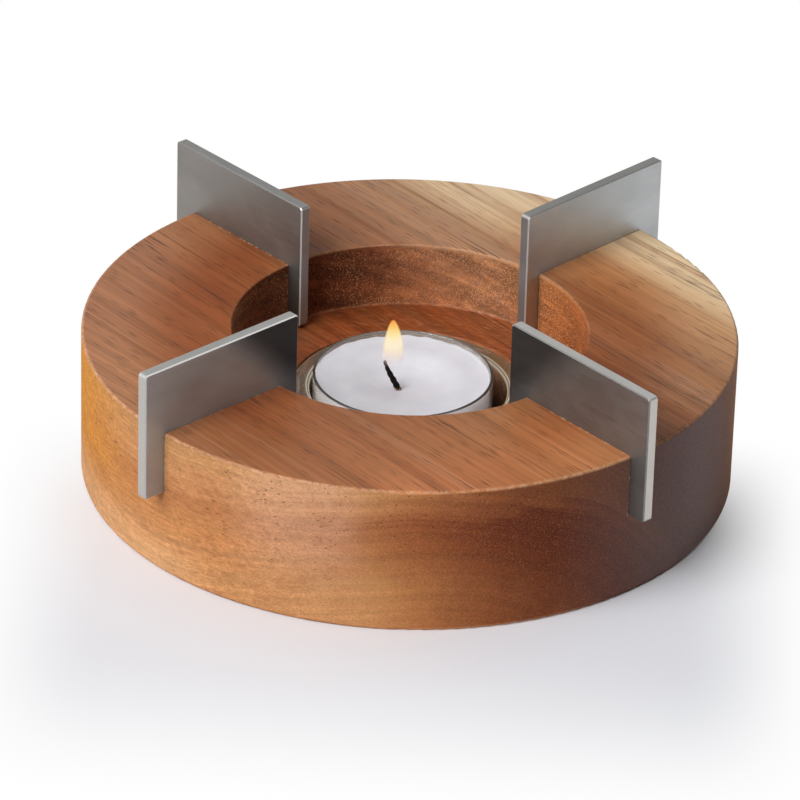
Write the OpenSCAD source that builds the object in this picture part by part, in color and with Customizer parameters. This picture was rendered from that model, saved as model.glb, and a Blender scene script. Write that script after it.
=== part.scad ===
// Teapot warmer: a turned wooden ring, four steel plates in saw kerfs that
// carry the pot, and a tealight in a glass cup sunk into the middle of the ring.
// Origin: centre of the underside. +Z is up, the front faces -Y. Millimetres.

/* [Wooden ring] */
// Outer diameter of the ring
ring_d = 140; // [130:1:180]
// Height of the ring
ring_h = 33; // [31:0.5:45]
// Diameter of the upper bore, where the flame burns
bore_d = 76; // [66:0.2:90]
// Depth of the upper bore, from the top of the ring to the bore's floor
bore_depth = 14.7; // [12:0.1:16.5]
// Rounding of the outer edge at the top
rim_round = 0.7; // [0.4:0.1:3]
// Rounding of the outer edge at the foot
foot_round = 0.8; // [0.4:0.1:3]
// Rounding of the upper bore's mouth
bore_round = 0.4; // [0.4:0.1:2]
// Fillet between the upper bore's wall and its floor
bore_fillet = 0.5; // [0.3:0.1:3]
// Rounding of the candle well's mouth
well_round = 0.4; // [0.2:0.1:1]

/* [Pot support plates] */
// Thickness of the sheet
plate_t = 2.5; // [1.5:0.1:4]
// Height of a plate
plate_h = 29.2; // [22:0.1:40]
// How far a plate that is not shifted stands out past the ring's outer wall
plate_out = 5.2; // [2:0.1:8]
// How far a plate that is not shifted stands into the upper bore
plate_in = 4.6; // [2:0.1:6]
// Radius of a plate's corners
plate_corner = 0.8; // [0.8:0.1:4]
// Chamfer along a plate's edges
plate_edge = 0.25; // [0.1:0.05:0.5]
// Depth of the saw kerf that holds a plate
kerf_depth = 14; // [8:0.5:14.5]
// Gap between a plate's face and the kerf's wall
kerf_gap = 0.08; // [0.05:0.01:0.2]

/* [Places of the plates] */
// Angle of the front left plate and its kerf, from +X towards +Y
front_left_angle = 225.1; // [215:0.1:235]
// Angle of the front right plate and its kerf
front_right_angle = 313.8; // [305:0.1:325]
// Angle of the rear right plate and its kerf
rear_right_angle = 46.7; // [35:0.1:55]
// Angle of the rear left plate and its kerf
rear_left_angle = 134.4; // [125:0.1:145]
// How far the front left plate is shifted outwards in its kerf
front_left_shift = -0.1; // [-1:0.1:1]
// How far the front right plate is shifted outwards in its kerf
front_right_shift = -0.7; // [-1:0.1:1]
// How far the rear right plate is shifted outwards in its kerf
rear_right_shift = 0.6; // [-1:0.1:1]
// How far the rear left plate is shifted outwards in its kerf
rear_left_shift = 0.7; // [-1:0.1:1]

/* [Glass cup] */
// Height of the glass cup
glass_h = 14.7; // [12:0.1:16]
// Wall of the glass cup
glass_wall = 3.8; // [2:0.1:4]
// Room around the tealight in the glass cup
cup_room = 1.85; // [1.3:0.05:2]
// Thickness of the glass cup's base
glass_base = 2.5; // [1.5:0.1:4]
// How far the glass cup's rim stands above the upper bore's floor
glass_proud = 0.4; // [0:0.1:2]
// Gap around the glass cup in its well
well_gap = 0.5; // [0.3:0.1:1]
// Rounding of the glass cup's rim
glass_rim_round = 0.9; // [0.3:0.1:0.9]
// Rounding of the glass cup's foot
glass_foot_round = 2; // [0.5:0.1:3]
// Fillet inside the glass cup, between wall and base
glass_fillet = 1.2; // [0.5:0.1:2]

/* [Tealight] */
// Outer diameter of the clear candle cup
cup_d = 38.7; // [36:0.1:39.5]
// Height of the clear candle cup
cup_h = 15.4; // [14:0.1:20]
// Wall of the clear candle cup
cup_wall = 0.6; // [0.4:0.05:1]
// Rounding of the clear candle cup's foot
cup_foot_round = 1.2; // [1:0.1:2]
// How far to the left of the middle the loose tealight stands
cup_shift = 1.2; // [0:0.1:1.2]
// Distance from the candle cup's rim down to the wax
wax_drop = 1; // [0.5:0.1:3]
// Diameter of the dish that the flame has melted into the wax
dish_d = 27; // [16:0.5:32]
// Depth of that dish at its middle
dish_depth = 1.5; // [0.5:0.1:2.5]
// Diameter of the wick
wick_d = 1.4; // [1:0.1:2]
// How far the wick has strayed to the left where it leaves the wax
wick_stray = 0.8; // [0:0.1:1.5]
// How far the wick leans to the front where it leaves the wax
wick_forward = 3; // [0.5:0.1:3]
// How far the wick's tip reaches to the left of that place
wick_reach = 3.1; // [1:0.1:4]
// How high the wick's tip stands above that place
wick_rise = 6.8; // [5:0.1:9]
// Diameter of the metal disc that holds the wick's foot
sustainer_d = 13; // [8:0.5:16]
// Height of the neck on that disc
sustainer_neck = 4; // [2:0.5:6]
// Sheet thickness of the disc and its neck
sustainer_t = 0.4; // [0.2:0.05:0.6]
// Gap between the wax and what is cast into it
cast_gap = 0.04; // [0.02:0.01:0.1]
// Gap around the wick in the hole that it leaves in the wax
wick_gap = 0.12; // [0.1:0.01:0.3]

/* [Hidden] */
$fn = 128;

wood_colour = "peru";
steel_colour = "silver";
glass_colour = [0.85, 0.93, 0.92, 0.4];
clear_colour = [0.95, 0.95, 0.97, 0.5];
wax_colour = "whitesmoke";
wick_colour = [0.12, 0.09, 0.09];

ring_r = ring_d / 2;
bore_r = bore_d / 2;
bore_floor = ring_h - bore_depth;
cup_r = cup_d / 2;
glass_bore_r = cup_r + cup_room;
glass_r = glass_bore_r + glass_wall;
well_r = glass_r + well_gap;
well_floor = bore_floor + glass_proud - glass_h;

plate_angles = [front_left_angle, front_right_angle, rear_right_angle, rear_left_angle];
plate_inner = bore_r - plate_in;
plate_length = ring_r + plate_out - plate_inner;
plate_middle = plate_inner + plate_length / 2;
kerf_floor = ring_h - kerf_depth;
kerf_w = plate_t + 2 * kerf_gap;
kerf_reach = ring_d;

candle_floor = well_floor + glass_base;
cup_bore_r = cup_r - cup_wall;
cup_rim_round = cup_wall / 4;
wax_r = cup_bore_r - cast_gap;
wax_top = cup_h - wax_drop;
dish_r = dish_d / 2;
dish_sphere_r = (dish_r * dish_r + dish_depth * dish_depth) / (2 * dish_depth);

wick_r = wick_d / 2;
neck_bore_r = wick_r + cast_gap;
neck_r = neck_bore_r + sustainer_t;
neck_top = cup_wall + sustainer_neck;
wick_foot = [0, 0, cup_wall + sustainer_t + cast_gap];
wick_neck = [0, 0, neck_top];
// The wick leans towards the front inside the wax and bends to the left above it
wick_mouth = [-wick_stray, -wick_forward, wax_top - dish_depth];
wick_tip = [-wick_reach, 0, wick_rise];
wick_start_pull = wick_tip / 3;
wick_end_pull = [-wick_reach * 5 / 6, 0, wick_rise * 2 / 3];
wick_steps = 8;
wick_sides = 10;
wick_hole_r = wick_r + wick_gap;
wick_hole_past = wick_d;

// The web in a corner that opens towards +X and +Y: rounding takes it off an outer
// corner, a fillet leaves it standing in an inner one
module corner_web(r) {
    difference() {
        translate([-r, -r]) square(2 * r);
        translate([r, r]) circle(r);
    }
}

// Half section of the ring, with the upper bore and the candle well
module ring_profile() {
    difference() {
        square([ring_r, ring_h]);
        difference() {
            translate([0, bore_floor]) square([bore_r, ring_h]);
            translate([bore_r, bore_floor]) mirror([1, 0]) corner_web(bore_fillet);
        }
        translate([0, well_floor]) square([well_r, ring_h]);
        translate([ring_r, 0]) mirror([1, 0]) corner_web(foot_round);
        translate([ring_r, ring_h]) rotate(180) corner_web(rim_round);
        translate([bore_r, ring_h]) mirror([0, 1]) corner_web(bore_round);
        translate([well_r, bore_floor]) mirror([0, 1]) corner_web(well_round);
    }
}

module kerf(angle) {
    rotate(angle)
        translate([plate_inner - kerf_gap, -kerf_w / 2, kerf_floor])
            cube([kerf_reach, kerf_w, ring_h]);
}

module wooden_ring() {
    color(wood_colour)
        difference() {
            rotate_extrude() ring_profile();
            for (angle = plate_angles) kerf(angle);
        }
}

// Cross-section of a chamfered bar, width along X and sheet thickness along Y
module plate_section(width) {
    w = width / 2;
    t = plate_t / 2;
    e = plate_edge;
    polygon([[e - w, -t], [w - e, -t], [w, e - t], [w, t - e], [w - e, t], [e - w, t], [-w, t - e], [-w, e - t]]);
}

// One chamfered corner of a plate, a disc about Z
module plate_corner_disc() {
    t = plate_t / 2;
    e = plate_edge;
    r = plate_corner;
    rotate_extrude() polygon([[0, -t], [r - e, -t], [r, e - t], [r, t - e], [r - e, t], [0, t]]);
}

// A plate on edge in the XZ plane: its middle on the Z axis, its lower edge at Z = 0
module plate() {
    across = plate_length / 2 - plate_corner;
    up = plate_h / 2 - plate_corner;
    translate([0, 0, plate_h / 2]) {
        rotate([0, 90, 0]) translate([0, 0, -across]) linear_extrude(2 * across) plate_section(plate_h);
        translate([0, 0, -up]) linear_extrude(2 * up) plate_section(plate_length);
        for (x = [-across, across], z = [-up, up])
            translate([x, 0, z]) rotate([90, 0, 0]) plate_corner_disc();
    }
}

module plate_at(angle, shift) {
    color(steel_colour) rotate(angle) translate([plate_middle + shift, 0, kerf_floor]) plate();
}

module front_left_plate() { plate_at(front_left_angle, front_left_shift); }
module front_right_plate() { plate_at(front_right_angle, front_right_shift); }
module rear_right_plate() { plate_at(rear_right_angle, rear_right_shift); }
module rear_left_plate() { plate_at(rear_left_angle, rear_left_shift); }

module glass_profile() {
    difference() {
        square([glass_r, glass_h]);
        difference() {
            translate([0, glass_base]) square([glass_bore_r, glass_h]);
            translate([glass_bore_r, glass_base]) mirror([1, 0]) corner_web(glass_fillet);
        }
        translate([glass_r, 0]) mirror([1, 0]) corner_web(glass_foot_round);
        translate([glass_r, glass_h]) rotate(180) corner_web(glass_rim_round);
        translate([glass_bore_r, glass_h]) mirror([0, 1]) corner_web(glass_rim_round);
    }
}

module glass_cup() {
    color(glass_colour) translate([0, 0, well_floor]) rotate_extrude() glass_profile();
}

// The tealight's pieces share a frame at the middle of the candle cup's underside
module in_tealight() {
    translate([-cup_shift, 0, candle_floor]) children();
}

module cup_profile() {
    difference() {
        square([cup_r, cup_h]);
        difference() {
            translate([0, cup_wall]) square([cup_bore_r, cup_h]);
            translate([cup_bore_r, cup_wall]) mirror([1, 0]) corner_web(cup_foot_round - cup_wall);
        }
        translate([cup_r, 0]) mirror([1, 0]) corner_web(cup_foot_round);
        translate([cup_r, cup_h]) rotate(180) corner_web(cup_rim_round);
        translate([cup_bore_r, cup_h]) mirror([0, 1]) corner_web(cup_rim_round);
    }
}

module candle_cup() {
    color(clear_colour) in_tealight() rotate_extrude() cup_profile();
}

// The sustainer grown by a gap: its own shape at 0, the hollow it leaves in the wax at cast_gap
module sustainer_solid(gap) {
    translate([0, 0, cup_wall]) cylinder(h = sustainer_t + gap, r = sustainer_d / 2 + gap);
    translate([0, 0, cup_wall]) cylinder(h = sustainer_neck + gap, r = neck_r + gap);
}

module wick_sustainer() {
    color(steel_colour) in_tealight()
        difference() {
            sustainer_solid(0);
            translate([0, 0, cup_wall + sustainer_t]) cylinder(h = sustainer_neck, r = neck_bore_r);
        }
}

// The straight hole that the leaning wick leaves in the wax
module wick_hole() {
    way = wick_mouth - wick_neck;
    tilt = acos(way.z / norm(way));
    heading = atan2(way.y, way.x);
    translate(wick_neck) rotate([0, tilt, heading]) {
        cylinder(h = norm(way) + wick_hole_past, r = wick_hole_r);
        sphere(wick_hole_r);
    }
}

module wax_profile() {
    difference() {
        translate([0, cup_wall]) square([wax_r, wax_top - cup_wall]);
        translate([wax_r, cup_wall]) mirror([1, 0]) corner_web(cup_foot_round - cup_wall);
    }
}

module wax() {
    color(wax_colour) in_tealight()
        difference() {
            rotate_extrude() wax_profile();
            translate([0, 0, wax_top - dish_depth + dish_sphere_r]) sphere(dish_sphere_r);
            sustainer_solid(cast_gap);
            wick_hole();
        }
}

// A point of the bend above the wax, at t from 0 to 1 of a cubic curve
function wick_bend(t) =
    wick_mouth + 3 * t * (1 - t) * (1 - t) * wick_start_pull + 3 * t * t * (1 - t) * wick_end_pull
    + t * t * t * wick_tip;

// A tube's ring of points about a path point, square to the path's direction there
function tube_ring(point, direction, r, sides) =
    let (side = cross([0, 1, 0], direction) / norm(cross([0, 1, 0], direction)),
         up = cross(direction, side) / norm(cross(direction, side)))
    [for (k = [0 : sides - 1]) point + r * (cos(360 * k / sides) * side + sin(360 * k / sides) * up)];

// A closed tube of flat facets along a path
module tube(path, r, sides) {
    last = len(path) - 1;
    directions = [for (i = [0 : last]) path[min(i + 1, last)] - path[max(i - 1, 0)]];
    points = [for (i = [0 : last]) each tube_ring(path[i], directions[i], r, sides)];
    wall = [for (i = [0 : last - 1], k = [0 : sides - 1], half = [0, 1])
        let (a = i * sides + k, b = i * sides + (k + 1) % sides)
        half == 0 ? [a, a + sides, b] : [b, a + sides, b + sides]];
    foot = [for (k = [0 : sides - 1]) k];
    tip = [for (k = [sides - 1 : -1 : 0]) last * sides + k];
    polyhedron(points, concat(wall, [foot, tip]));
}

module wick() {
    path = concat([wick_foot, wick_neck], [for (i = [0 : wick_steps]) wick_bend(i / wick_steps)]);
    color(wick_colour) in_tealight() tube(path, wick_r, wick_sides);
}

wooden_ring();
front_left_plate();
front_right_plate();
rear_right_plate();
rear_left_plate();
glass_cup();
candle_cup();
wax();
wick();
wick_sustainer();
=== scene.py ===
import math

import bpy
import numpy as np
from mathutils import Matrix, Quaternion, Vector


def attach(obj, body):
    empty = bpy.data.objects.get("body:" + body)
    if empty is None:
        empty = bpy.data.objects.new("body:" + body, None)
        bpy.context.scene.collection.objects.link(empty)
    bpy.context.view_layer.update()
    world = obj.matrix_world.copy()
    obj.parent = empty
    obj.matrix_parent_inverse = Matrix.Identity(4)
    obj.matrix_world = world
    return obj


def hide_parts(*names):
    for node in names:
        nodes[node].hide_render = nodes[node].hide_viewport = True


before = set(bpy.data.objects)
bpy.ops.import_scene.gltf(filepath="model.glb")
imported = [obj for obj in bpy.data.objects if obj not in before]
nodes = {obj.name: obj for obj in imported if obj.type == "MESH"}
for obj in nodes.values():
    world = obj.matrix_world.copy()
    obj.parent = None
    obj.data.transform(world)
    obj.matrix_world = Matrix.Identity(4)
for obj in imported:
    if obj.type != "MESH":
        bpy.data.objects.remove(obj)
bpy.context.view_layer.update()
millimetre = 0.001
zAxis = (0.0, 0.0, 1.0)
black = (0.0, 0.0, 0.0, 1.0)
white = (1.0, 1.0, 1.0, 1.0)
print("frame loaded:", len(nodes), "CAD nodes")


# Camera, fitted to the photograph's edges
cameraSettings = {
    "lens": 260.8,  # mm
    "sensor": 36.0,  # mm wide
    "azimuth": 1.63,  # degrees, to the right of the front
    "elevation": 29.15,  # degrees above the horizon
    "roll": 1.68,  # degrees, the camera was held a little askew
    "distance": 1.2432,  # metres from the aim point
    "aim": (-0.0017, 0.0, 0.0152),  # metres
    "farthest": 20.0,  # metres that it sees
}


def placeCamera(settings):
    azimuth = math.radians(settings["azimuth"])
    elevation = math.radians(settings["elevation"])
    outward = Vector((
        math.sin(azimuth) * math.cos(elevation),
        -math.cos(azimuth) * math.cos(elevation),
        math.sin(elevation),
    ))
    lookTurn = (-outward).to_track_quat("-Z", "Y")
    rollTurn = Quaternion(zAxis, math.radians(settings["roll"]))
    data = bpy.data.cameras.new("camera")
    data.lens = settings["lens"]
    data.sensor_width = settings["sensor"]
    data.clip_end = settings["farthest"]
    camera = bpy.data.objects.new("camera", data)
    camera.location = Vector(settings["aim"]) + outward * settings["distance"]
    camera.rotation_mode = "QUATERNION"
    camera.rotation_quaternion = lookTurn @ rollTurn
    bpy.context.collection.objects.link(camera)
    bpy.context.scene.camera = camera


placeCamera(cameraSettings)
print("camera placed")


# Mesh helpers
def loftFaces(rings):
    # rings is an (n, m, 3) array: neighbouring rings are joined by quads all the way round, and each end
    # ring is closed by a fan to its own middle point; if the shape comes out inside out, its faces turn round
    ringCount, ringSize = rings.shape[:2]
    firstRow = np.arange(ringCount - 1)[:, None] * ringSize
    around = np.arange(ringSize)[None, :]
    following = (around + 1) % ringSize
    nextRow = firstRow + ringSize
    corners = [firstRow + around, firstRow + following, nextRow + following, nextRow + around]
    quads = np.stack(corners, axis=-1).reshape(-1, 4)
    startMiddle = ringCount * ringSize
    lastRow = (ringCount - 1) * ringSize
    startFan = np.stack([following[0], around[0], np.full(ringSize, startMiddle)], axis=-1)
    endMiddle = np.full(ringSize, startMiddle + 1)
    endFan = np.stack([lastRow + around[0], lastRow + following[0], endMiddle], axis=-1)
    middles = np.stack([rings[0].mean(axis=0), rings[-1].mean(axis=0)])
    points = np.concatenate([rings.reshape(-1, 3), middles])
    triangles = np.concatenate([quads[:, [0, 1, 2]], quads[:, [0, 2, 3]], startFan, endFan])
    first, second, third = (points[triangles[:, corner]] for corner in range(3))
    if np.einsum("ij,ij->i", first, np.cross(second, third)).sum() < 0.0:
        quads, startFan, endFan = quads[:, ::-1], startFan[:, ::-1], endFan[:, ::-1]
    return points, quads.tolist() + startFan.tolist() + endFan.tolist()


def addPiece(name, points, faces):
    # a smooth shaded mesh object from points in millimetres
    mesh = bpy.data.meshes.new(name)
    mesh.from_pydata((points * millimetre).tolist(), [], faces)
    mesh.polygons.foreach_set("use_smooth", np.ones(len(mesh.polygons), dtype=bool))
    mesh.update()
    piece = bpy.data.objects.new(name, mesh)
    bpy.context.collection.objects.link(piece)
    return piece


def roundedProfile(corners, radii, spacing=0.6, steps=8):
    # straight runs through the corners, each inner corner replaced by an arc of its radius that touches both
    # runs, with extra points along the runs so that no face is long
    corners = np.array(corners, dtype=float)
    runs = [corners[:1]]
    share = np.linspace(0.0, 1.0, steps + 1)[:, None]
    for before, corner, after, radius in zip(corners[:-2], corners[1:-1], corners[2:], radii):
        toBefore = (before - corner) / np.linalg.norm(before - corner)
        toAfter = (after - corner) / np.linalg.norm(after - corner)
        halfAngle = 0.5 * math.acos(np.dot(toBefore, toAfter))
        halfWay = (toBefore + toAfter) / np.linalg.norm(toBefore + toAfter)
        middle = corner + halfWay * radius / math.sin(halfAngle)
        start = corner + toBefore * radius / math.tan(halfAngle) - middle
        end = corner + toAfter * radius / math.tan(halfAngle) - middle
        sweep = math.pi - 2.0 * halfAngle
        arc = (np.sin((1.0 - share) * sweep) * start + np.sin(share * sweep) * end) / math.sin(sweep)
        runs.append(middle + arc)
    path = np.concatenate(runs + [corners[-1:]])
    lengths = np.concatenate([[0.0], np.cumsum(np.linalg.norm(np.diff(path, axis=0), axis=1))])
    places = np.concatenate([lengths, np.arange(0.0, lengths[-1], spacing)])
    places = np.unique(places.round(decimals=4))
    return np.stack([np.interp(places, lengths, path[:, axis]) for axis in (0, 1)], axis=-1)


def fullTurn(count):
    return np.linspace(0.0, 2.0 * np.pi, count, endpoint=False)


def turnedRings(profile, count, middle):
    # every (radius, height) of the profile swept once round the upright line through the middle
    turn = fullTurn(count)
    radius, height = profile[:, :1], profile[:, 1:]
    x = middle[0] + radius * np.cos(turn)
    y = middle[1] + radius * np.sin(turn)
    return np.stack([x, y, np.broadcast_to(middle[2] + height, x.shape)], axis=-1)


def dress(piece, material):
    piece.data.materials.clear()
    piece.data.materials.append(material)


# Shader helpers
def tone(red, green, blue):
    # a colour as it shows on screen, 0 to 255, as the linear values that shaders take
    screen = np.array((red, green, blue)) / 255.0
    linear = np.where(screen <= 0.04045, screen / 12.92, ((screen + 0.055) / 1.055) ** 2.4)
    return (*linear.tolist(), 1.0)


def addNode(tree, kind, inputs=None, **settings):
    node = tree.nodes.new(kind)
    for key, value in settings.items():
        setattr(node, key, value)
    for key, value in (inputs or {}).items():
        if isinstance(value, bpy.types.NodeSocket):
            tree.links.new(value, node.inputs[key])
        else:
            node.inputs[key].default_value = value
    return node


def calculate(tree, operation, *values):
    return addNode(tree, "ShaderNodeMath", dict(enumerate(values)), operation=operation).outputs[0]


def multiply(tree, *values):
    product = values[0]
    for value in values[1:]:
        product = calculate(tree, "MULTIPLY", product, value)
    return product


def vectorWork(tree, operation, *vectors):
    node = addNode(tree, "ShaderNodeVectorMath", dict(enumerate(vectors)), operation=operation)
    return node.outputs["Value" if operation in ("DOT_PRODUCT", "LENGTH") else "Vector"]


def stretch(tree, vector, factors):
    return vectorWork(tree, "MULTIPLY", vector, factors)


def flatLength(tree, vector):
    return vectorWork(tree, "LENGTH", stretch(tree, vector, (1.0, 1.0, 0.0)))


def separate(tree, vector):
    return addNode(tree, "ShaderNodeSeparateXYZ", {0: vector}).outputs


def combine(tree, x=0.0, y=0.0, z=0.0):
    return addNode(tree, "ShaderNodeCombineXYZ", {0: x, 1: y, 2: z}).outputs[0]


def figure(tree, vector, look, output="Fac"):
    # a noise pattern; a look's fineness is how many grains lie in a millimetre along each axis
    if "shift" in look:
        vector = vectorWork(tree, "ADD", vector, look["shift"])
    inputs = {
        "Vector": stretch(tree, vector, look["fineness"]), "Scale": 1.0, "Detail": look["detail"],
        "Roughness": look.get("roughness", 0.5), "Distortion": look.get("distortion", 0.0),
    }
    return addNode(tree, "ShaderNodeTexNoise", inputs).outputs[output]


def remap(tree, value, low, high, newLow=0.0, newHigh=1.0, curve="SMOOTHSTEP"):
    inputs = {"Value": value, "From Min": low, "From Max": high, "To Min": newLow, "To Max": newHigh}
    return addNode(tree, "ShaderNodeMapRange", inputs, interpolation_type=curve).outputs[0]


def near(place, span):
    # a span that is given by its distances from a place
    return [place + distance for distance in span]


def ramp(tree, value, stops):
    node = addNode(tree, "ShaderNodeValToRGB", {0: value})
    elements = node.color_ramp.elements
    while len(elements) < len(stops):
        elements.new(1.0)
    for element, (position, colour) in zip(elements, stops):
        element.position = position
        element.color = colour
    return node.outputs[0]


def mixColours(tree, amount, first, second, blend="MIX"):
    inputs = {0: amount, 6: first, 7: second}
    return addNode(tree, "ShaderNodeMix", inputs, data_type="RGBA", blend_type=blend).outputs[2]


def mixValues(tree, amount, first, second):
    return addNode(tree, "ShaderNodeMix", {0: amount, 2: first, 3: second}).outputs[0]


def tint(tree, mask, colour, shade):
    # the colour, multiplied by the shade where the mask is 1
    return mixColours(tree, mask, colour, shade, "MULTIPLY")


def shadeBy(tree, colour, value, mask=1.0):
    # the colour, darkened or lightened by a plain number at each point
    grey = addNode(tree, "ShaderNodeCombineColor", {0: value, 1: value, 2: value}).outputs[0]
    return tint(tree, mask, colour, grey)


def newMaterial(name):
    material = bpy.data.materials.new(name)
    material.use_nodes = True
    tree = material.node_tree
    tree.nodes.clear()
    shader = addNode(tree, "ShaderNodeBsdfPrincipled")
    output = addNode(tree, "ShaderNodeOutputMaterial")
    tree.links.new(shader.outputs[0], output.inputs[0])
    return material, tree, shader


def newGroup(name, inputs, outputs):
    tree = bpy.data.node_groups.new(name, "ShaderNodeTree")
    for label, kind in inputs.items():
        tree.interface.new_socket(label, in_out="INPUT", socket_type=kind)
    for label, kind in outputs.items():
        tree.interface.new_socket(label, in_out="OUTPUT", socket_type=kind)
    entry = addNode(tree, "NodeGroupInput").outputs
    leaving = addNode(tree, "NodeGroupOutput").inputs
    return tree, entry, leaving


def useGroup(tree, group, inputs):
    return addNode(tree, "ShaderNodeGroup", inputs, node_tree=group).outputs


def bump(tree, shader, height, distance, strength=1.0):
    node = addNode(tree, "ShaderNodeBump", {"Height": height, "Distance": distance, "Strength": strength})
    tree.links.new(node.outputs[0], shader.inputs["Normal"])


def placeInMillimetres(tree, turn=0.0):
    # object coordinates in millimetres, turned about Z by an angle in degrees
    coordinates = addNode(tree, "ShaderNodeTexCoord").outputs["Object"]
    inputs = {
        "Vector": coordinates, "Rotation": (0.0, 0.0, math.radians(turn)), "Scale": (1.0 / millimetre,) * 3,
    }
    return addNode(tree, "ShaderNodeMapping", inputs).outputs[0]


def faceNormal(tree):
    return addNode(tree, "ShaderNodeTexCoord").outputs["Normal"]


def reachAlong(tree, vector, way):
    # how far a vector reaches along a way, forwards or backwards; a normal in line with it reaches 1
    return calculate(tree, "ABSOLUTE", vectorWork(tree, "DOT_PRODUCT", vector, way))


# Marks that handling leaves on metal, glass and plastic: cloudy smears and a few fine rubbed lines
handMarkSettings = {
    "smears": {"fineness": (0.11, 0.11, 0.17), "detail": 5.0, "roughness": 0.6, "distortion": 0.8},
    "smearDepth": (0.38, 0.68, 0.0, 0.75),
    "rubbing": {"fineness": (0.5, 0.5, 3.5), "detail": 2.0, "roughness": 0.7},
    "rubbedDepth": (0.6, 0.74, 0.0, 0.25),
}


def makeHandMarks(settings):
    tree, entry, leaving = newGroup("handMarks", {"Place": "NodeSocketVector"}, {"Marks": "NodeSocketFloat"})
    smears = remap(tree, figure(tree, entry["Place"], settings["smears"]), *settings["smearDepth"])
    rubbed = remap(tree, figure(tree, entry["Place"], settings["rubbing"]), *settings["rubbedDepth"])
    tree.links.new(calculate(tree, "ADD", smears, rubbed), leaving["Marks"])
    return tree


handMarks = makeHandMarks(handMarkSettings)


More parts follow.
